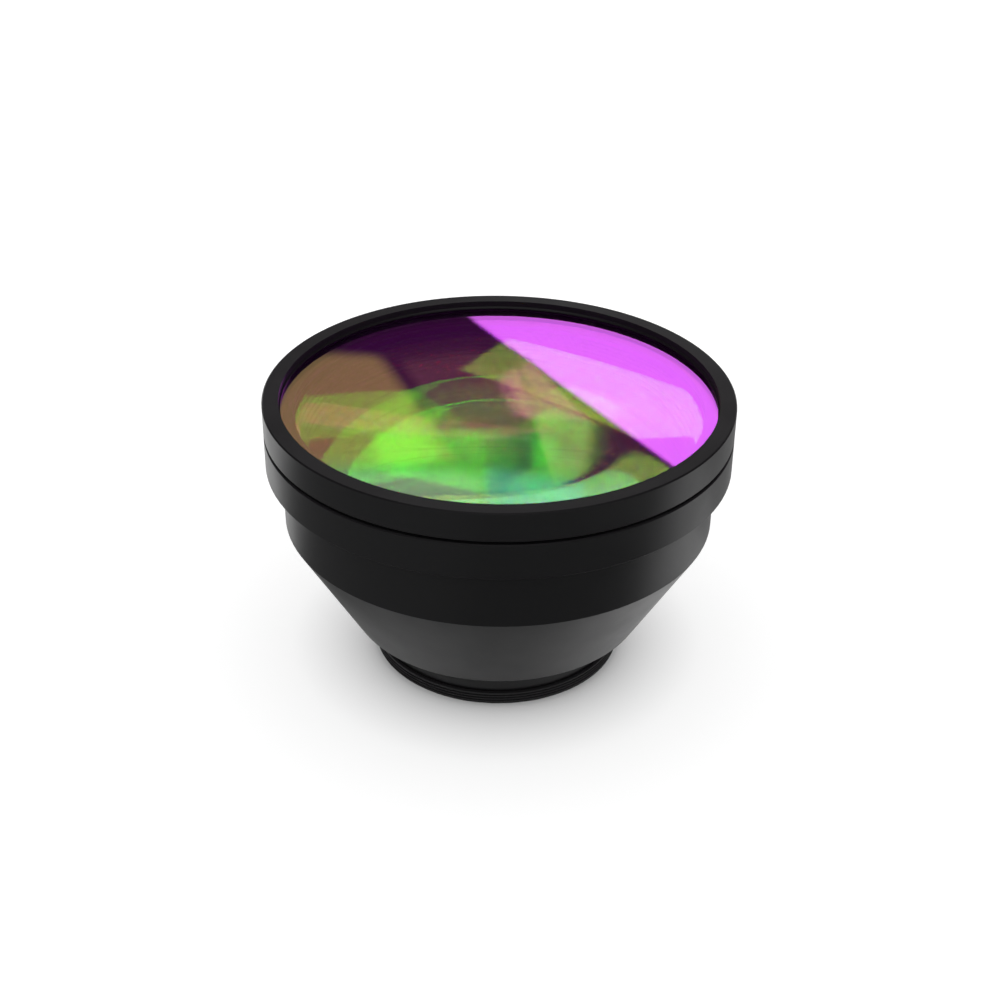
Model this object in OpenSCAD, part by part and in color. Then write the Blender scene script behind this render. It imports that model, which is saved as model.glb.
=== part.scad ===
// F-theta scan lens: a turned housing with a male thread at its foot, a train of four lenses
// parted by flared spacers, and a front ring that clamps a flat protective window.
// Millimetres. +Z runs along the optical axis, from the scan-head thread up to the window.
// The origin is the centre of the thread's end face, which the lens stands on.

/* [Outer body] */
// Outside diameter of the flange and of the front ring
flange_d = 154; // [136:1:160]
// Wall of the straight barrel under the flange
barrel_wall = 3; // [2:0.1:6]
// Height of the cone
cone_h = 36.4; // [32:0.1:60]
// Height of the straight barrel
barrel_h = 20.3; // [17:0.1:40]
// Height of the flange
flange_h = 12.1; // [8:0.1:20]
// Width of the groove that parts the front ring from the flange
groove_w = 0.9; // [0.4:0.1:1.6]
// Width of the small chamfers on the outer edges
edge_c = 0.4; // [0.2:0.1:0.8]

/* [Scan-head thread] */
// Nominal diameter of the male thread
thread_d = 85; // [74:1:96]
// Pitch of the thread
thread_pitch = 1; // [0.75:0.25:1.5]
// Length of the threaded land
thread_len = 5; // [4:0.5:12]
// Chamfer at both ends of the thread
thread_c = 0.5; // [0.3:0.1:0.8]
// How far the neck between the thread and the cone is cut in below the thread
neck_cut = 1.2; // [1:0.1:2]
// Height of the neck
neck_h = 10.7; // [9:0.1:20]
// Wall of the neck
neck_wall = 5.9; // [4:0.1:8]
// Width of the flat shoulder between the neck and the cone
shoulder_w = 9.8; // [8:0.1:14]

/* [Window and front ring] */
// Wall of the front ring round the window
ring_wall = 1.9; // [1.5:0.1:3]
// Thickness of the protective window
window_t = 2.5; // [2:0.25:5]
// Height of the spigot that carries the window
spigot_h = 5.4; // [3:0.1:8]
// Wall of the spigot
spigot_wall = 3.4; // [3:0.1:5]
// How far the lip of the front ring reaches in over the window
lip_reach = 3.9; // [2:0.1:6]
// Height of the lip's upright edge over the window
lip_h = 0.4; // [0.3:0.1:2]
// Width and height of the bevel between that edge and the mouth
bevel_w = 0.5; // [0.3:0.1:1]
// Depth of the mouth above the bevel
mouth_h = 2; // [1:0.1:8]
// Section of the O-ring under the window
seal_w = 1.5; // [1:0.1:1.8]
// Clearance at each side of the O-ring in its groove
seal_gap = 0.15; // [0.05:0.05:0.3]

/* [Output lens] */
// Thickness of the output lens's rim
output_rim_t = 7; // [6.5:0.25:9]
// Rise of its convex upper face
output_top_sag = 2.3; // [2.2:0.1:2.8]
// Drop of its convex lower face
output_bottom_sag = 3.2; // [3:0.1:6]
// Height of its threaded retainer
output_retainer_h = 2.3; // [2:0.1:5]
// How far its retainer stands out past the lens
output_retainer_land = 2; // [1:0.1:3]
// Gap between its retainer and the window
output_retainer_gap = 0.4; // [0.3:0.1:2]

/* [Upper meniscus] */
// How far the upper spacer flares out from the upper meniscus to the output lens
upper_flare = 5.5; // [3:0.5:7]
// Thickness of the upper meniscus's rim
upper_rim_t = 13.9; // [10:0.1:15]
// Rise of its convex upper face
upper_top_sag = 7.4; // [5.5:0.1:9]
// Hollow of its concave lower face
upper_bottom_sag = 8.5; // [6:0.1:9]
// Air between its upper face and the output lens
upper_air = 0.6; // [0.5:0.1:3]

/* [Lower meniscus] */
// How far the lower spacer flares out from the lower meniscus to the upper one
lower_flare = 3; // [2:0.5:4]
// Thickness of the lower meniscus's rim
lower_rim_t = 9.4; // [7:0.1:12]
// Rise of its convex upper face
lower_top_sag = 8.9; // [8.2:0.1:10]
// Hollow of its concave lower face
lower_bottom_sag = 6; // [3:0.1:8]
// Air between its upper face and the upper meniscus
lower_air = 3.9; // [3.2:0.1:6]

/* [Entrance lens] */
// Thickness of the entrance lens's rim
entrance_rim_t = 8; // [6.5:0.25:8.5]
// Hollow of its concave lower face
entrance_bottom_sag = 3; // [1:0.1:4]
// Hollow of its concave upper face
entrance_top_sag = 0.5; // [0.3:0.1:1.5]
// Height of its threaded retainer
entrance_retainer_h = 4; // [3:0.1:4.5]
// How far its retainer stands out past the lens
entrance_retainer_land = 2; // [1:0.1:3]

/* [Seats and spacers] */
// Width of the flat ground rim of each lens
rim_w = 3; // [2.5:0.1:3.5]
// Radial clearance of each lens and spacer in its bore
fit_gap = 0.1; // [0.05:0.01:0.2]
// Thickness of the plastic cushion under each retainer
cushion_t = 0.3; // [0.2:0.1:0.8]
// Relief cut below or above a seat, so that the lens meets its ring first
relief = 0.5; // [0.3:0.1:0.8]
// Radial step from the output lens's bore to the spacer's bore under it
spacer_step = 1; // [0.8:0.1:1.2]
// Height of a spacer's straight lands, where it meets a lens
spacer_land = 1.5; // [1:0.1:2]
// Height of one stray-light step on the inner walls
baffle_pitch = 1.5; // [1:0.1:2.5]
// Width of a spanner slot in a retainer
slot_w = 3; // [2:0.1:4]
// Depth of a spanner slot
slot_depth = 1; // [0.5:0.1:1.5]
// Direction of the spanner slots
slot_angle = 60; // [0:5:180]

/* [Hidden] */

// Facets of a turned edge, of the O-ring's section, and of the whole circle that a polished
// face is an arc of
turn_fn = 180;
seal_fn = 32;
face_fn = 360;
// How far a cutting solid runs past the face that it cuts
past = 1;

// Radii at the window end, from the outside in: ring, window and spigot, retainer, output
// lens, upper spacer, upper meniscus, lower meniscus
flange_r = flange_d / 2;
window_r = flange_r - ring_wall - fit_gap;
lip_r = window_r - lip_reach;
mouth_r = lip_r + bevel_w;
output_retainer_r = window_r - spigot_wall - fit_gap;
seal_r = window_r - spigot_wall / 2;
output_r = output_retainer_r - output_retainer_land;
upper_spacer_r = output_r - spacer_step;
upper_r = upper_spacer_r - upper_flare;
barrel_r = upper_spacer_r + fit_gap + barrel_wall;
lower_r = upper_r - lower_flare;

// Radii at the thread end, from the outside in. The plain land stands at the thread's pitch
// radius, half the thread's depth inside its crest
pitch_drop = 0.325;
thread_r = thread_d / 2 - pitch_drop * thread_pitch;
neck_r = thread_r - neck_cut;
cone_foot_r = neck_r + shoulder_w;
entrance_retainer_r = neck_r - neck_wall - fit_gap;
entrance_r = entrance_retainer_r - entrance_retainer_land;

// Clear radii of the lenses, inside their ground rims
output_clear = output_r - rim_w;
upper_clear = upper_r - rim_w;
lower_clear = lower_r - rim_w;
entrance_clear = entrance_r - rim_w;

// Heights of the outer body, from the foot up
z_neck = thread_len;
z_cone = z_neck + neck_h;
z_barrel = z_cone + cone_h;
z_flange = z_barrel + barrel_h;
z_flange_top = z_flange + flange_h;
z_window = z_flange_top + spigot_h;
z_lip = z_window + window_t;
z_bevel = z_lip + lip_h;
z_mouth = z_bevel + bevel_w;
z_top = z_mouth + mouth_h;
z_ring = z_flange_top + groove_w;

// The entrance lens sits under the light trap; its cushion and retainer come up from the foot
z_entrance = z_cone - entrance_rim_t;
z_entrance_cushion = z_entrance - cushion_t;
z_entrance_retainer = z_entrance_cushion - entrance_retainer_h;

// The stack hangs from the window down: retainer, output lens, upper and lower meniscus. The
// lower meniscus rests on a seat in the housing
z_output_retainer = z_window - output_retainer_gap - output_retainer_h;
z_output_top = z_output_retainer - cushion_t;
z_output = z_output_top - output_rim_t;
z_upper_top = z_output - output_bottom_sag - upper_air - upper_top_sag;
z_upper = z_upper_top - upper_rim_t;
z_lower_top = z_upper + upper_bottom_sag - lower_air - lower_top_sag;
z_lower = z_lower_top - lower_rim_t;

// Where the spacers flare out: at 45 degrees for the upper one, from land to land for the
// lower one
z_upper_flare = z_upper_top + spacer_land;
z_upper_flare_top = z_upper_flare + upper_flare;
z_lower_flare = z_lower_top + spacer_land;
z_lower_flare_top = z_upper - spacer_land;

// Radius of the sphere whose cap is sag high over a circle of radius clear
function cap_sphere_r(clear, sag) = (clear * clear + sag * sag) / (2 * sag);

// Points of a wall that climbs in steps from radius r1 at z1 to radius r2 at z2, so that stray
// light meets a ledge and an edge at each step; it starts and ends upright
function stepped_wall(r1, z1, r2, z2) =
    let (n = max(2, floor((z2 - z1) / baffle_pitch)), dr = (r2 - r1) / (n - 1), dz = (z2 - z1) / n)
    [for (i = [0 : n - 1]) each [[r1 + i * dr, z1 + i * dz], [r1 + i * dr, z1 + (i + 1) * dz]]];

function reversed(points) = [for (i = [len(points) - 1 : -1 : 0]) points[i]];

// A solid turned from half its section
module turned(section) {
    rotate_extrude($fn = turn_fn) polygon(section);
}

// A flat ring
module flat_ring(outer, inner, z, h) {
    turned([[inner, z], [outer, z], [outer, z + h], [inner, z + h]]);
}

// Half the section of a spherical face: its arc rises sag over the plane and meets it at clear,
// and the section reaches below the plane by down
module face_section(clear, sag, down) {
    radius = cap_sphere_r(clear, sag);
    intersection() {
        translate([0, sag - radius]) circle(r = radius, $fn = face_fn);
        translate([0, -down]) square([clear + past, sag + past + down]);
    }
}

// A lens turned from half its section: a ground rim of height rim_t, and above and below it a
// face that bulges out by its sag, or dips in where the sag is negative
module lens(radius, rim_t, clear, top_sag, bottom_sag) {
    rotate_extrude($fn = turn_fn)
        difference() {
            union() {
                square([radius, rim_t]);
                if (top_sag > 0)
                    translate([0, rim_t]) face_section(clear, top_sag, 0);
                if (bottom_sag > 0)
                    mirror([0, 1]) face_section(clear, bottom_sag, 0);
            }
            if (top_sag < 0)
                translate([0, rim_t]) mirror([0, 1]) face_section(clear, -top_sag, past);
            if (bottom_sag < 0)
                face_section(clear, -bottom_sag, past);
        }
}

// A threaded retainer with two spanner slots; up is 1 where its slots face up and 0 where
// they face down
module retainer(outer, inner, z, h, up) {
    slot_z = up == 1 ? z + h - slot_depth : z - past;
    difference() {
        flat_ring(outer, inner, z, h);
        rotate([0, 0, slot_angle])
            translate([-outer - past, -slot_w / 2, slot_z])
                cube([2 * (outer + past), slot_w, slot_depth + past]);
    }
}

// The housing: its lowest stretch of bore, between the seat of the lower meniscus and the
// entrance lens, follows the beam as a cone of stray-light steps
module housing() {
    outside = [
        [entrance_retainer_r + fit_gap + thread_c, 0],
        [thread_r - thread_c, 0],
        [thread_r, thread_c],
        [thread_r, thread_len - thread_c],
        [thread_r - thread_c, thread_len],
        [neck_r, thread_len],
        [neck_r, z_cone],
        [cone_foot_r - edge_c, z_cone],
        [cone_foot_r, z_cone + edge_c],
        [barrel_r, z_barrel],
        [barrel_r, z_flange],
        [flange_r - edge_c, z_flange],
        [flange_r, z_flange + edge_c],
        [flange_r, z_flange_top - edge_c],
        [flange_r - edge_c, z_flange_top],
        [window_r, z_flange_top],
        [window_r, z_window],
    ];
    upper_bore = [
        [output_retainer_r + fit_gap, z_window],
        [output_retainer_r + fit_gap, z_output_top - relief],
        [output_r + fit_gap, z_output_top - relief],
        [output_r + fit_gap, z_output - relief],
        [upper_spacer_r + fit_gap, z_output - relief],
        [upper_spacer_r + fit_gap, z_upper_flare_top],
        [upper_r + fit_gap, z_upper_flare],
        [upper_r + fit_gap, z_lower_flare_top],
        [lower_r + fit_gap, z_lower_flare],
        [lower_r + fit_gap, z_lower],
    ];
    light_trap = reversed(stepped_wall(entrance_clear, z_cone, lower_clear, z_lower));
    lower_bore = [
        [entrance_r + fit_gap, z_cone],
        [entrance_r + fit_gap, z_entrance + relief],
        [entrance_retainer_r + fit_gap, z_entrance + relief],
        [entrance_retainer_r + fit_gap, thread_c],
    ];
    color([0.11, 0.11, 0.11])
        difference() {
            turned(concat(outside, upper_bore, light_trap, lower_bore));
            flat_ring(seal_r + seal_w / 2 + seal_gap, seal_r - seal_w / 2 - seal_gap,
                z_window - seal_w, seal_w + past);
        }
}

module front_ring() {
    bore_r = window_r + fit_gap;
    color([0.12, 0.12, 0.12])
        turned([
            [bore_r, z_ring],
            [flange_r - edge_c, z_ring],
            [flange_r, z_ring + edge_c],
            [flange_r, z_top - edge_c],
            [flange_r - edge_c, z_top],
            [mouth_r, z_top],
            [mouth_r, z_mouth],
            [lip_r, z_bevel],
            [lip_r, z_lip],
            [bore_r, z_lip],
        ]);
}

module protective_window() {
    color([0.75, 0.35, 0.9, 0.5])
        translate([0, 0, z_window]) cylinder(r = window_r, h = window_t, $fn = turn_fn);
}

module window_seal() {
    color([0.05, 0.05, 0.05])
        translate([0, 0, z_window - seal_w / 2])
            rotate_extrude($fn = turn_fn)
                translate([seal_r, 0]) circle(d = seal_w, $fn = seal_fn);
}

module output_retainer() {
    color([0.08, 0.08, 0.08])
        retainer(output_retainer_r, output_clear + relief, z_output_retainer, output_retainer_h, 1);
}

module output_cushion() {
    color([0.2, 0.2, 0.2])
        flat_ring(output_r, output_clear + relief, z_output_top, cushion_t);
}

module output_lens() {
    color([0.6, 0.8, 0.5, 0.5])
        translate([0, 0, z_output])
            lens(output_r, output_rim_t, output_clear, output_top_sag, output_bottom_sag);
}

module upper_spacer() {
    color([0.08, 0.08, 0.08])
        turned(concat(
            [
                [upper_r, z_upper_top],
                [upper_r, z_upper_flare],
                [upper_spacer_r, z_upper_flare_top],
                [upper_spacer_r, z_output],
            ],
            reversed(stepped_wall(upper_clear, z_upper_top, output_clear, z_output))
        ));
}

module upper_meniscus() {
    color([0.4, 0.8, 0.4, 0.5])
        translate([0, 0, z_upper])
            lens(upper_r, upper_rim_t, upper_clear, upper_top_sag, -upper_bottom_sag);
}

module lower_spacer() {
    color([0.08, 0.08, 0.08])
        turned(concat(
            [
                [lower_r, z_lower_top],
                [lower_r, z_lower_flare],
                [upper_r, z_lower_flare_top],
                [upper_r, z_upper],
            ],
            reversed(stepped_wall(lower_clear, z_lower_top, upper_clear, z_upper))
        ));
}

module lower_meniscus() {
    color([0.4, 0.7, 0.8, 0.5])
        translate([0, 0, z_lower])
            lens(lower_r, lower_rim_t, lower_clear, lower_top_sag, -lower_bottom_sag);
}

module entrance_lens() {
    color([0.6, 0.5, 0.8, 0.5])
        translate([0, 0, z_entrance])
            lens(entrance_r, entrance_rim_t, entrance_clear, -entrance_top_sag,
                -entrance_bottom_sag);
}

module entrance_cushion() {
    color([0.2, 0.2, 0.2])
        flat_ring(entrance_r, entrance_clear + relief, z_entrance_cushion, cushion_t);
}

module entrance_retainer() {
    color([0.08, 0.08, 0.08])
        retainer(entrance_retainer_r, entrance_clear + relief, z_entrance_retainer,
            entrance_retainer_h, 0);
}

housing();
front_ring();
protective_window();
window_seal();
output_retainer();
output_cushion();
output_lens();
upper_spacer();
upper_meniscus();
lower_spacer();
lower_meniscus();
entrance_lens();
entrance_cushion();
entrance_retainer();
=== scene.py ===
# %% [markdown]
# # Dressing an f-theta scan lens
# A scan lens bends a moving laser beam so that it stays in focus over a flat field. The solids of
# the real thing come from CAD: a black anodised housing, a front ring, and a train of polished
# lenses behind a flat window. This lesson leaves those solids where they are and gives them their
# finish: fine turning marks under black anodising, sharp thread ridges, and glass whose thin
# coatings mirror magenta and green.

# %% Load the frame
import math

import bmesh
import bpy
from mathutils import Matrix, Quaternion, Vector


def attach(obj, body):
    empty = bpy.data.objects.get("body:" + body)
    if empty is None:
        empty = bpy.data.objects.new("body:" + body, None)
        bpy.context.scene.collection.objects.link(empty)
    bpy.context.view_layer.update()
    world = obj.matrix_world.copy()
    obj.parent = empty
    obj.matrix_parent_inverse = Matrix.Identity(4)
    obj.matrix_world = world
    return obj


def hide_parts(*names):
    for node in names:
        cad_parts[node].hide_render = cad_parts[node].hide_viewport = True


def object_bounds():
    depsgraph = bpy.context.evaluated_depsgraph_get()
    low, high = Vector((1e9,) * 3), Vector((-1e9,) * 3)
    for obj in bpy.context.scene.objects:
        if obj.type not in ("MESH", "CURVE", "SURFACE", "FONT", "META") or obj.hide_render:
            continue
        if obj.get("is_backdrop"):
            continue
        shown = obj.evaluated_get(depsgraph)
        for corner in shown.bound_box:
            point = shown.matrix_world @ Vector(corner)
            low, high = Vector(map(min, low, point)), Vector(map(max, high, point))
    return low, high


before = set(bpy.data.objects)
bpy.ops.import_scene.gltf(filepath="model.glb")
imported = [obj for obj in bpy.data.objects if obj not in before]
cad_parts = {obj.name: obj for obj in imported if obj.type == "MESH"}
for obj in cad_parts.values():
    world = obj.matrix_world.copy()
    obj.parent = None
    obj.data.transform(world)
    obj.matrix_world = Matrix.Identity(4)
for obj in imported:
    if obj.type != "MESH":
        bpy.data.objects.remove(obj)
cad_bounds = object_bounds()
print("nodes:", ", ".join(sorted(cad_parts)))

MM = 0.001
MICRON = 0.000001
CENTER = (0, 0, 0)
LENS_AXIS = (0, 0, 1)

# %% [markdown]
# ## Camera
# A product like this is shown from a little above, so that the eye takes in the window and the
# cone together. A camera is placed by a point to stand at, a point to look at, and a small roll,
# because a hand-held or tripod head is seldom dead level.

# %% Place the camera
EYE = Vector((0.0, -0.48787, 0.34426))
LOOK_AT = Vector((0.0006, 0.0, 0.0541))
ROLL = math.radians(0.70)
LENS_MM = 60.42
SENSOR_MM = 36
CLIP_START = 0.01
VIEW_AXIS = (0, 0, 1)

camera_data = bpy.data.cameras.new("product_camera")
camera_data.lens = LENS_MM
camera_data.sensor_width = SENSOR_MM
camera_data.clip_start = CLIP_START
camera = bpy.data.objects.new("product_camera", camera_data)
camera.location = EYE
camera.rotation_mode = "QUATERNION"
aim = (LOOK_AT - EYE).to_track_quat("-Z", "Y")
camera.rotation_quaternion = aim @ Quaternion(VIEW_AXIS, ROLL)
scene = bpy.context.scene
scene.collection.objects.link(camera)
scene.camera = camera
scene.view_settings.view_transform = "Standard"
print("camera stands", round((EYE - LOOK_AT).length, 3), "m from what it looks at")

# %% [markdown]
# ## Small helpers
# Every material here is a node tree, so a few helpers keep the trees short: one starts a material
# with an empty tree and an output, one adds a node and sets its sockets by name, and one does a
# sum. The last two put a material on a CAD node and make an object from a finished mesh.


# %% Helpers for node trees
def new_material(name):
    """An empty node material with its output node."""
    material = bpy.data.materials.new(name)
    material.use_nodes = True
    material.node_tree.nodes.clear()
    return material, material.node_tree.nodes.new("ShaderNodeOutputMaterial")


def add_node(owner, kind, settings=None, **sockets):
    """Adds a node. settings are its own properties; each socket takes a value or a link.

    A socket goes by its name, with _ for a space, or by its number, as in i0.
    """
    tree = owner.node_tree
    made = tree.nodes.new(kind)
    for key, value in (settings or {}).items():
        setattr(made, key, value)
    for key, value in sockets.items():
        name = key.replace("_", " ")
        socket = made.inputs[int(key[1:])] if key[1:].isdigit() else made.inputs[name]
        if isinstance(value, bpy.types.NodeSocket):
            tree.links.new(value, socket)
        else:
            socket.default_value = value
    return made


def work_out(owner, operation, *values):
    """The output of one Math node."""
    sockets = {f"i{place}": value for place, value in enumerate(values)}
    return add_node(owner, "ShaderNodeMath", {"operation": operation}, **sockets).outputs[0]


def surface(material, out, shader):
    """Joins the last shader of a tree to the material's output."""
    material.node_tree.links.new(shader.outputs[0], out.inputs["Surface"])


# %% Helpers for meshes
def dress(node_name, material):
    """Puts one material on a CAD node, in place of what it came with."""
    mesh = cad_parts[node_name].data
    mesh.materials.clear()
    mesh.materials.append(material)
    print(node_name, "->", material.name)


def add_mesh(name, work):
    """Turns a finished bmesh into an object that sits at the origin."""
    mesh = bpy.data.meshes.new(name)
    work.to_mesh(mesh)
    work.free()
    made = bpy.data.objects.new(name, mesh)
    scene.collection.objects.link(made)
    print(name, "has", len(mesh.polygons), "faces")
    return made


# %% [markdown]
# ## Floor
# A pale sheet under the lens takes a soft shadow. Its paint alone would come out grey, so the
# camera, mirrors and lenses also see a glow in it. The glow fades to nothing towards the foot of
# the lens. That paints a darker, tighter shadow round the foot on top of the rendered one. Matt
# surfaces take no light from the glow.

# %% Make the floor
FLOOR_HALF = 6.0
FLOOR_PAINT = (0.84, 0.84, 0.84)
FLOOR_GLOW = 0.40
# Radii between which the glow fades in from nothing: a painted shadow round the foot of the lens.
PAINTED_SHADOW_CORE = 0.043
PAINTED_SHADOW_EDGE = 0.072


def floor_glow_with_painted_shadow(material):
    """Strength of the glow, for camera, mirrors and lenses alone; it fades out near the lens as
    painted shadow.
    """
    place = add_node(material, "ShaderNodeTexCoord")
    radius = add_node(material, "ShaderNodeVectorMath", {"operation": "LENGTH"},
                      i0=place.outputs["Object"])
    # Painted shadow: the glow is zero at the foot of the lens and grows outwards with the square
    # root of the distance.
    painted_shadow_ramp = add_node(material, "ShaderNodeMapRange", Value=radius.outputs["Value"],
                    From_Min=PAINTED_SHADOW_CORE, From_Max=PAINTED_SHADOW_EDGE)
    rise = work_out(material, "SQRT", painted_shadow_ramp.outputs[0])
    path = add_node(material, "ShaderNodeLightPath")
    seen = path.outputs["Is Camera Ray"]
    for kind in ("Is Glossy Ray", "Is Transmission Ray"):
        seen = work_out(material, "MAXIMUM", seen, path.outputs[kind])
    return work_out(material, "MULTIPLY", work_out(material, "MULTIPLY", seen, rise), FLOOR_GLOW)


floor_material, floor_out = new_material("pale_floor_painted_shadow")
glow = add_node(floor_material, "ShaderNodeEmission", Strength=floor_glow_with_painted_shadow(floor_material))
paint = add_node(floor_material, "ShaderNodeBsdfDiffuse", Color=(*FLOOR_PAINT, 1))
surface(floor_material, floor_out, add_node(floor_material, "ShaderNodeAddShader",
                                            i0=paint.outputs[0], i1=glow.outputs[0]))

floor_work = bmesh.new()
bmesh.ops.create_grid(floor_work, x_segments=1, y_segments=1, size=FLOOR_HALF)
floor = add_mesh("floor", floor_work)
floor.data.materials.append(floor_material)
floor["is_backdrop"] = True

# %% [markdown]
# ## Studio
# Polished and satin black things show little of their own colour: what the eye reads is the studio
# in them. The room here is a dome of light, brightest low down. A black curtain hangs all round
# the lens, and in front of it stand the panels that the glass mirrors. Cards on the floor darken
# what the upright walls mirror. The curtain, the panels and the cards show only in reflections and
# through lenses.
#
# A panel is tinted in polished faces and grey in satin ones, so part of the colour in the glass
# comes from the panels and not from its coatings, and the black metal takes no colour from them.


# %% Helpers for cards
CARD_LAYER = "card"
CARD_PLACES = ((0, 0), (1, 0), (1, 1), (0, 1))
CURTAIN_SEGMENTS = 64


def card_fade(material, soft):
    """One in the middle of a card, falling smoothly to nothing over its outer share, soft."""
    place = add_node(material, "ShaderNodeUVMap")
    split = add_node(material, "ShaderNodeSeparateXYZ", Vector=place.outputs[0])
    fades = []
    for axis in (0, 1):
        to_edge = work_out(material, "PINGPONG", split.outputs[axis], 0.5)
        fade = add_node(material, "ShaderNodeMapRange", {"interpolation_type": "SMOOTHSTEP"},
                        Value=to_edge, From_Min=0.0, From_Max=soft)
        fades.append(fade.outputs[0])
    return work_out(material, "MULTIPLY", *fades)


def card_material(name, color, soft, grey):
    """A card with faded edges: color in polished faces, grey in satin ones."""
    material, out = new_material(name)
    level = card_fade(material, soft)
    path = add_node(material, "ShaderNodeLightPath")
    plain = add_node(material, "ShaderNodeEmission", Color=(grey, grey, grey, 1), Strength=1.0)
    tinted = add_node(material, "ShaderNodeEmission", Color=(*color, 1), Strength=1.0)
    shine = add_node(material, "ShaderNodeMixShader", i0=path.outputs["Is Singular Ray"],
                     i1=plain.outputs[0], i2=tinted.outputs[0])
    clear = add_node(material, "ShaderNodeBsdfTransparent")
    surface(material, out, add_node(material, "ShaderNodeMixShader", i0=level,
                                    i1=clear.outputs[0], i2=shine.outputs[0]))
    return material


def only_mirrored(card, material):
    """The card shows in mirrors and lenses alone: it lights nothing and casts no shadow."""
    card.data.materials.append(material)
    card.visible_camera = False
    card.visible_diffuse = False
    card.visible_shadow = False
    card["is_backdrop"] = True


def hang_card(name, corners, color, soft, grey):
    """A flat card with the given corners."""
    work = bmesh.new()
    face = work.faces.new([work.verts.new(corner) for corner in corners])
    layer = work.loops.layers.uv.new(CARD_LAYER)
    for loop, place in zip(face.loops, CARD_PLACES):
        loop[layer].uv = place
    only_mirrored(add_mesh(name, work), card_material(name, color, soft, grey))


def hang_curtain(radius, low, high, color):
    """A nearly black curtain in a ring round the lens."""
    work = bmesh.new()
    tube = bmesh.ops.create_cone(work, cap_ends=False, segments=CURTAIN_SEGMENTS, radius1=radius,
                                 radius2=radius, depth=high - low)
    bmesh.ops.translate(work, verts=tube["verts"], vec=(0, 0, (low + high) / 2))
    cloth, out = new_material("curtain")
    surface(cloth, out, add_node(cloth, "ShaderNodeEmission", Color=(*color, 1), Strength=1.0))
    only_mirrored(add_mesh("curtain", work), cloth)


# %% Hang the curtain, the panels and the floor cards
CURTAIN_RADIUS = 2.2
CURTAIN_TOP = 3.6
CURTAIN_COLOR = (0.04, 0.02, 0.035)
PANEL_Y = 1.50
FLOOR_CARD_Z = 0.0005

hang_curtain(CURTAIN_RADIUS, 0.0, CURTAIN_TOP, CURTAIN_COLOR)

# Each panel: its corners in x and z, its tint, the share that fades, and its grey in satin faces.
# The places and tints began as a fit of what the glass mirrors, and many were then moved.
PANELS = {
    "soft_box": ([(-0.080, 0.722), (0.010, 0.580), (0.580, 0.880), (0.269, 0.995)],
                 (1.0, 1.0, 1.0), 0.03, 1.0),
    "left_panel": ([(-0.420, 0.785), (-0.150, 0.795), (-0.030, 0.970), (-0.460, 1.010)],
                   (0.25, 0.78, 0.06), 0.12, 0.9),
    "top_panel": ([(-0.260, 0.940), (0.020, 0.965), (0.010, 1.300), (-0.260, 1.160)],
                  (0.22, 1.80, 0.16), 0.12, 0.7),
    "emerald_panel": ([(-0.030, 0.955), (0.125, 0.975), (0.150, 1.300), (-0.020, 1.300)],
                      (0.05, 0.75, 0.20), 0.12, 0.5),
    "middle_panel": ([(0.014, 0.788), (0.135, 0.895), (0.128, 0.998), (0.075, 1.010)],
                     (0.20, 0.62, 0.08), 0.15, 0.5),
    "low_panel": ([(-0.018, 0.831), (0.037, 0.802), (0.135, 0.905), (0.009, 0.897)],
                  (0.38, 0.42, 0.16), 0.15, 0.4),
    "dim_panel": ([(-0.150, 0.800), (-0.020, 0.780), (0.050, 0.930), (-0.040, 0.990)],
                  (0.10, 0.14, 0.05), 0.20, 0.2),
}
for name, (places, color, soft, grey) in PANELS.items():
    hang_card(name, [(x, PANEL_Y, z) for x, z in places], color, soft, grey)

# Each floor card: its corners in x and y, its grey, and the share that fades.
FLAGS = {
    "front_flag": ([(-0.20, -0.60), (0.33, -0.60), (0.33, -0.03), (-0.20, -0.03)], 0.11, 0.1),
    "left_flag": ([(-0.70, -0.60), (-0.01, -0.60), (-0.01, 0.06), (-0.70, 0.14)], 0.20, 0.1),
    "right_flag": ([(0.06, 0.02), (0.50, 0.00), (0.60, 0.60), (0.06, 0.60)], 0.45, 0.06),
}
for step, (name, (places, grey, soft)) in enumerate(FLAGS.items(), start=1):
    corners = [(x, y, step * FLOOR_CARD_Z) for x, y in places]
    hang_card(name, corners, (grey, grey, grey), soft, grey)

# %% Light the dome
DOME_HORIZON = 1.9
DOME_ZENITH = 0.45

world = bpy.data.worlds.new("studio_air")
scene.world = world
world.use_nodes = True
direction = add_node(world, "ShaderNodeTexCoord")
height = add_node(world, "ShaderNodeSeparateXYZ", Vector=direction.outputs["Generated"])
level = add_node(world, "ShaderNodeMapRange", Value=height.outputs["Z"], To_Min=DOME_HORIZON,
                 To_Max=DOME_ZENITH)
background = world.node_tree.nodes["Background"]
background.inputs["Color"].default_value = (1, 1, 1, 1)
world.node_tree.links.new(level.outputs["Result"], background.inputs["Strength"])
print("dome goes from", DOME_HORIZON, "at the horizon to", DOME_ZENITH, "overhead")

# %% [markdown]
# ## Black anodising
# Black anodising is a thin dyed oxide over turned aluminium. It has almost no colour of its own,
# and it shines most where the eye grazes it. The tool that turned the metal leaves rings that the
# oxide follows, so the marks are a noise that knows only radius and height.

# %% Turned metal
MARK_PITCH = 0.9 * MM
OXIDE_IOR = 1.4
GLOSS_SWING = 0.03
CLOUD_SCALE = 60.0
CLOUD_LOW = 0.3
CLOUD_HIGH = 0.7


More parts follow.
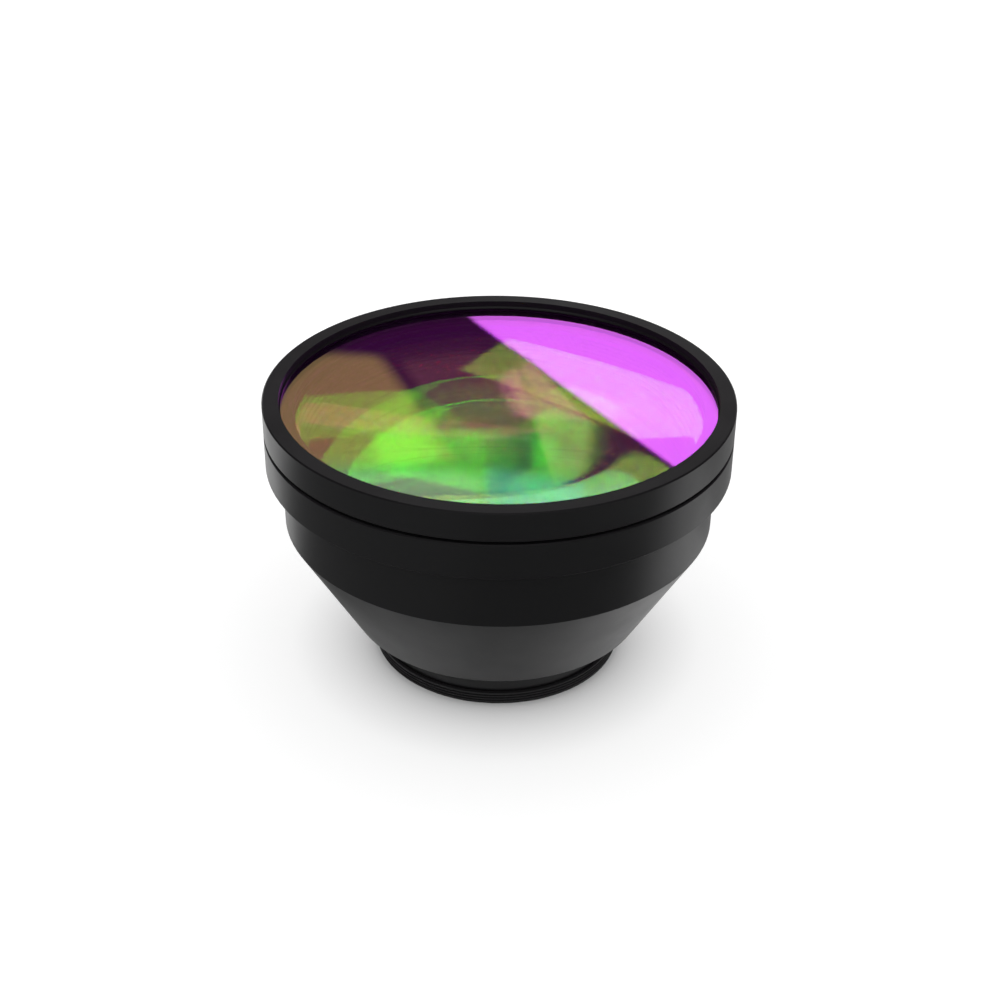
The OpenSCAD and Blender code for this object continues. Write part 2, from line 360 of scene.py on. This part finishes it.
def turned_marks(material, place, pitch, depth):
    """A bump of fine rings round the axis, pitch apart. place is the texture coordinate node."""
    flat = add_node(material, "ShaderNodeVectorMath", {"operation": "MULTIPLY"},
                    i0=place.outputs["Object"], i1=(1, 1, 0))
    radius = add_node(material, "ShaderNodeVectorMath", {"operation": "LENGTH"},
                      i0=flat.outputs[0])
    split = add_node(material, "ShaderNodeSeparateXYZ", Vector=place.outputs["Object"])
    ring = add_node(material, "ShaderNodeCombineXYZ", X=radius.outputs["Value"],
                    Y=split.outputs["Z"])
    marks = add_node(material, "ShaderNodeTexNoise", Vector=ring.outputs[0], Scale=1 / pitch,
                     Detail=3.0, Roughness=0.6)
    return add_node(material, "ShaderNodeBump", Height=marks.outputs[0], Distance=depth,
                    Strength=1.0)


def anodised_metal(name, dye, roughness, mark_depth):
    """Dyed oxide over turned metal, slightly uneven in its gloss."""
    material, out = new_material(name)
    place = add_node(material, "ShaderNodeTexCoord")
    bump = turned_marks(material, place, MARK_PITCH, mark_depth)
    cloud = add_node(material, "ShaderNodeTexNoise", Vector=place.outputs["Object"],
                     Scale=CLOUD_SCALE, Detail=4.0)
    gloss = add_node(material, "ShaderNodeMapRange", Value=cloud.outputs[0], From_Min=CLOUD_LOW,
                     From_Max=CLOUD_HIGH, To_Min=roughness - GLOSS_SWING,
                     To_Max=roughness + GLOSS_SWING)
    surface(material, out, add_node(material, "ShaderNodeBsdfPrincipled", Base_Color=(*dye, 1),
                                    Roughness=gloss.outputs[0], IOR=OXIDE_IOR,
                                    Normal=bump.outputs[0]))
    return material


anodised = anodised_metal("black_anodised", dye=(0.006, 0.006, 0.0065), roughness=0.34,
                          mark_depth=0.6 * MICRON)
for name in ("housing", "front_ring"):
    dress(name, anodised)
inner_black = anodised_metal("blackened_inner", dye=(0.006, 0.006, 0.006), roughness=0.5,
                             mark_depth=0.8 * MICRON)
for name in ("output_retainer", "upper_spacer", "lower_spacer", "entrance_retainer"):
    dress(name, inner_black)


# %% Rubber and plastic
def soft_black(name, color, roughness, grain, depth):
    """A matt moulded black with a fine grain."""
    material, out = new_material(name)
    place = add_node(material, "ShaderNodeTexCoord")
    speckle = add_node(material, "ShaderNodeTexNoise", Vector=place.outputs["Object"],
                       Scale=1 / grain, Detail=2.0)
    bump = add_node(material, "ShaderNodeBump", Height=speckle.outputs[0], Distance=depth,
                    Strength=1.0)
    surface(material, out, add_node(material, "ShaderNodeBsdfPrincipled", Base_Color=(*color, 1),
                                    Roughness=roughness, Normal=bump.outputs[0]))
    return material


seal_rubber = soft_black("seal_rubber", color=(0.012, 0.012, 0.012), roughness=0.6,
                         grain=0.3 * MM, depth=4 * MICRON)
dress("window_seal", seal_rubber)
cushion_plastic = soft_black("cushion_plastic", color=(0.03, 0.03, 0.03), roughness=0.5,
                             grain=0.5 * MM, depth=3 * MICRON)
for name in ("output_cushion", "entrance_cushion"):
    dress(name, cushion_plastic)

# %% [markdown]
# ## Coated glass
# A bare glass face mirrors about a twenty-fifth of what meets it. The stacks of thin films on
# these faces change that by colour: the window's outer film throws back violet, and the films
# within throw back olive, rose, lime, green and blue-green.
#
# The films here are much stronger mirrors than real ones, so that they show without a bright lamp
# in the room. What a film throws back and what it lets through are two separate tints, and they may
# add up to more than the light that arrives.

# %% Coatings
GLASS_IOR = 1.5

# Each film: the tint that it throws back, and the tint that it lets through. The first tints began
# as a fit, like the panels. The violet one is as it came, and most others were then set one by one.
FILMS = {
    "violet_film": ((0.55, 0.11, 0.67), (0.80, 0.97, 0.70)),
    "pale_film": ((0.30, 0.03, 0.50), (0.92, 0.98, 0.90)),
    "olive_film": ((0.16, 0.19, 0.02), (0.85, 0.95, 0.85)),
    "rose_film": ((0.19, 0.01, 0.06), (0.96, 0.98, 0.96)),
    "lime_film": ((0.25, 0.26, 0.05), (0.88, 0.88, 0.88)),
    "green_film": ((0.15, 0.48, 0.35), (0.90, 0.85, 0.90)),
    "emerald_film": ((0.02, 0.12, 0.30), (0.90, 0.85, 0.80)),
    "clear_film": ((0.02, 0.03, 0.02), (0.96, 0.97, 0.96)),
}


def coated_glass(name, mirror, through):
    """Glass with a thin film: mirror tints what it throws back, through what it lets pass."""
    glass, out = new_material(name)
    passed = add_node(glass, "ShaderNodeBsdfRefraction", Color=(*through, 1), Roughness=0.0,
                      IOR=GLASS_IOR)
    thrown = add_node(glass, "ShaderNodeBsdfGlossy", Color=(*mirror, 1), Roughness=0.0)
    surface(glass, out, add_node(glass, "ShaderNodeAddShader", i0=passed.outputs[0],
                                 i1=thrown.outputs[0]))
    return glass


films = {name: coated_glass(name, *tints) for name, tints in FILMS.items()}
edge_ink = soft_black("edge_ink", color=(0.01, 0.01, 0.01), roughness=0.5, grain=0.3 * MM,
                      depth=2 * MICRON)
print("films:", ", ".join(films))

# %% [markdown]
# ## Spun lenses
# The CAD mesh of a lens is a net of flat facets, and a mirror shows every one of them. Each lens is
# therefore spun again from half its section, finer and with smooth normals. Its radii and heights
# are read from its own CAD solid, so the two stay the same shape.

# %% Spin the lenses
SPIN_STEPS = 192
FACE_RINGS = 28
RIM_BAND = 0.05 * MM
POLE_REACH = 0.5 * MM
SAME_PLACE = 0.001 * MM
LEVEL_ENOUGH = 0.5
SHARP_EDGE = math.radians(12)
TOP_FILM, BOTTOM_FILM, RIM_INK = 0, 1, 2


def from_axis(point):
    """How far a point lies from the lens axis."""
    return math.hypot(point.x, point.y)


def lens_form(node_name):
    """Radius, rim heights, clear radii and pole heights of a lens, read from its CAD mesh."""
    points = [vertex.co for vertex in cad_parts[node_name].data.vertices]
    radius = max(from_axis(p) for p in points)
    edge = [p.z for p in points if from_axis(p) > radius - RIM_BAND]
    low, high = min(edge), max(edge)
    axis = [p.z for p in points if from_axis(p) < POLE_REACH]
    clear_low = min(from_axis(p) for p in points if abs(p.z - low) < SAME_PLACE)
    clear_high = min(from_axis(p) for p in points if abs(p.z - high) < SAME_PLACE)
    return radius, (low, clear_low, min(axis)), (high, clear_high, max(axis))


def face_arc(rim_z, clear, pole_z):
    """Points of a spherical face from its pole out to its clear radius."""
    sag = pole_z - rim_z
    ball = (clear * clear + sag * sag) / (2 * sag)
    points = []
    for step in range(FACE_RINGS + 1):
        r = clear * step / FACE_RINGS
        drop = abs(ball) - math.sqrt(ball * ball - r * r)
        points.append((r, pole_z - math.copysign(drop, ball)))
    return points


def coat_faces(work, clear_bottom, clear_top):
    """Gives each face of a spun lens its film, or the ink outside the clear radius."""
    for face in work.faces:
        face.smooth = True
        upward = face.normal.z > 0
        clear = clear_top if upward else clear_bottom
        if abs(face.normal.z) > LEVEL_ENOUGH and from_axis(face.calc_center_median()) < clear:
            face.material_index = TOP_FILM if upward else BOTTOM_FILM
        else:
            face.material_index = RIM_INK
    for edge in work.edges:
        edge.smooth = edge.calc_face_angle(0) < SHARP_EDGE


def spin_lens(node_name, top_film, bottom_film):
    """A smooth lens in the place of its CAD node, with a film on each face and an inked rim."""
    radius, bottom, top = lens_form(node_name)
    section = face_arc(*bottom) + [(radius, bottom[0]), (radius, top[0])]
    section += list(reversed(face_arc(*top)))
    work = bmesh.new()
    line = [work.verts.new((r, 0, z)) for r, z in section]
    edges = [work.edges.new(pair) for pair in zip(line, line[1:])]
    bmesh.ops.spin(work, geom=line + edges, axis=LENS_AXIS, cent=CENTER, angle=math.tau,
                   steps=SPIN_STEPS, use_merge=True)
    bmesh.ops.remove_doubles(work, verts=work.verts, dist=SAME_PLACE)
    bmesh.ops.recalc_face_normals(work, faces=work.faces)
    coat_faces(work, bottom[1], top[1])
    lens = add_mesh(node_name + "_spun", work)
    for material in (films[top_film], films[bottom_film], edge_ink):
        lens.data.materials.append(material)
    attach(lens, "root")
    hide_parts(node_name)
    print(node_name, "radius", round(radius / MM, 2), "mm")


spin_lens("output_lens", "olive_film", "rose_film")
spin_lens("upper_meniscus", "lime_film", "green_film")
spin_lens("lower_meniscus", "emerald_film", "clear_film")
spin_lens("entrance_lens", "clear_film", "clear_film")

# %% Coat the window
FACES_UP = 0.9
FACE_BAND = 0.1 * MM


def coat_window():
    """The window keeps its CAD mesh: its upper face gets the violet film, the rest a pale one."""
    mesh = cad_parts["protective_window"].data
    top = max(vertex.co.z for vertex in mesh.vertices)
    mesh.materials.clear()
    for film in ("pale_film", "violet_film"):
        mesh.materials.append(films[film])
    upper = [int(face.normal.z > FACES_UP and face.center.z > top - FACE_BAND)
             for face in mesh.polygons]
    mesh.polygons.foreach_set("material_index", upper)
    print("window faces under the violet film:", sum(upper))


coat_window()

# %% [markdown]
# ## Thread
# The CAD land stands at the thread's pitch radius. The ridges that stand out from it are one long
# V wound round and round, so a V section is spun about the axis while it climbs, which makes a
# helix. The ridge then runs out to nothing at both ends, as a cut thread does.

# %% Wind the thread
THREAD_PITCH = 1.0 * MM
THREAD_CREST = 42.5 * MM
THREAD_ROOT = 42.1 * MM
THREAD_LOW = 0.75 * MM
THREAD_TURNS = 3.5
THREAD_STEPS = 144
CREST_HALF = 0.08 * MM
ROOT_HALF = 0.42 * MM
RUN_OUT_TURNS = 0.25


def run_out(work):
    """Sinks the crest of the ridge to its root over the first and last part of a turn."""
    middle = (THREAD_CREST + THREAD_ROOT) / 2
    for vertex in work.verts:
        radius = from_axis(vertex.co)
        if radius > middle:
            turn = (vertex.co.z - THREAD_LOW) / THREAD_PITCH
            left = max(0, min(turn, THREAD_TURNS - turn) / RUN_OUT_TURNS)
            crest = THREAD_ROOT + (THREAD_CREST - THREAD_ROOT) * min(1, left)
            vertex.co.xy *= crest / radius


def wind_thread():
    """A helical V ridge round the foot, tapered to nothing at both ends."""
    work = bmesh.new()
    profile = ((THREAD_ROOT, -ROOT_HALF), (THREAD_CREST, -CREST_HALF),
               (THREAD_CREST, CREST_HALF), (THREAD_ROOT, ROOT_HALF))
    loop = [work.verts.new((r, 0, THREAD_LOW + rise)) for r, rise in profile]
    edges = [work.edges.new((loop[k - 1], loop[k])) for k in range(len(loop))]
    bmesh.ops.spin(work, geom=loop + edges, axis=LENS_AXIS, cent=CENTER,
                   angle=math.tau * THREAD_TURNS, steps=int(THREAD_STEPS * THREAD_TURNS),
                   dvec=(0, 0, THREAD_PITCH / THREAD_STEPS))
    bmesh.ops.holes_fill(work, edges=work.edges, sides=len(profile))
    run_out(work)
    bmesh.ops.recalc_face_normals(work, faces=work.faces)
    thread = add_mesh("thread_ridges", work)
    thread.data.materials.append(anodised)
    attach(thread, "root")


wind_thread()

# %% [markdown]
# ## Size
# The finish must not make the lens bigger than its solids, so the sizes of the CAD solids and of
# the dressed lens are printed together.

# %% Print the sizes and finish
size_report = {
    "cad": [list(cad_bounds[0]), list(cad_bounds[1])],
    "visual": [list(corner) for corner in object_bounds()],
}
for kind, (low, high) in size_report.items():
    print(kind, "size in mm:", [round((b - a) / MM, 2) for a, b in zip(low, high)])
